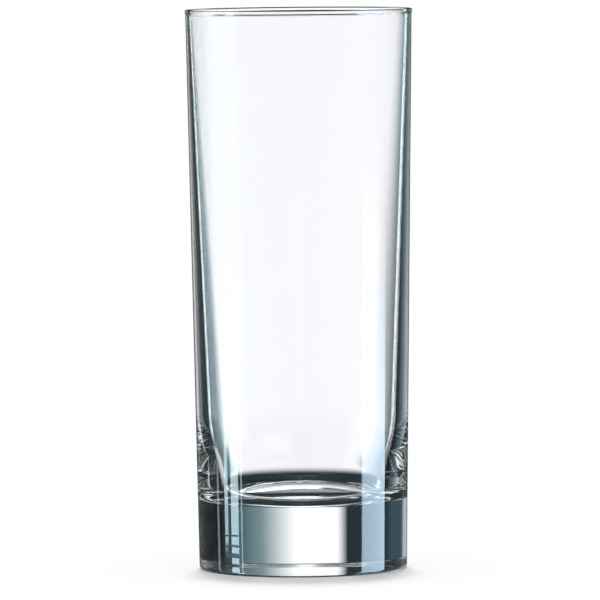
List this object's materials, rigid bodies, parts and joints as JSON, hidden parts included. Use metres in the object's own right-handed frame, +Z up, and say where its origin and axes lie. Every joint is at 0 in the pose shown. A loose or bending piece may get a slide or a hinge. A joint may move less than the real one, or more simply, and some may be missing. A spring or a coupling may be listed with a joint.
{
  "type": "tall tumbler",
  "caption": "Tall straight-sided drinking tumbler in clear glass, with a thin rounded rim, a wall that thickens downwards and a heavy solid base.",
  "frame": {"origin": "on the axis of the glass, in the plane of the bearing ring that it stands on", "axes": "+Z up along the axis, from the base to the rim; X and Y are any two level directions, because the glass is round"},
  "size_m": [0.065, 0.065, 0.16],
  "materials": {
    "clear_glass": "clear colourless soda-lime glass, fire-polished, with a faint cool tint where it is thick"
  },
  "bodies": {
    "root": {"tumbler_glass": "clear_glass"}
  },
  "joints": []
}
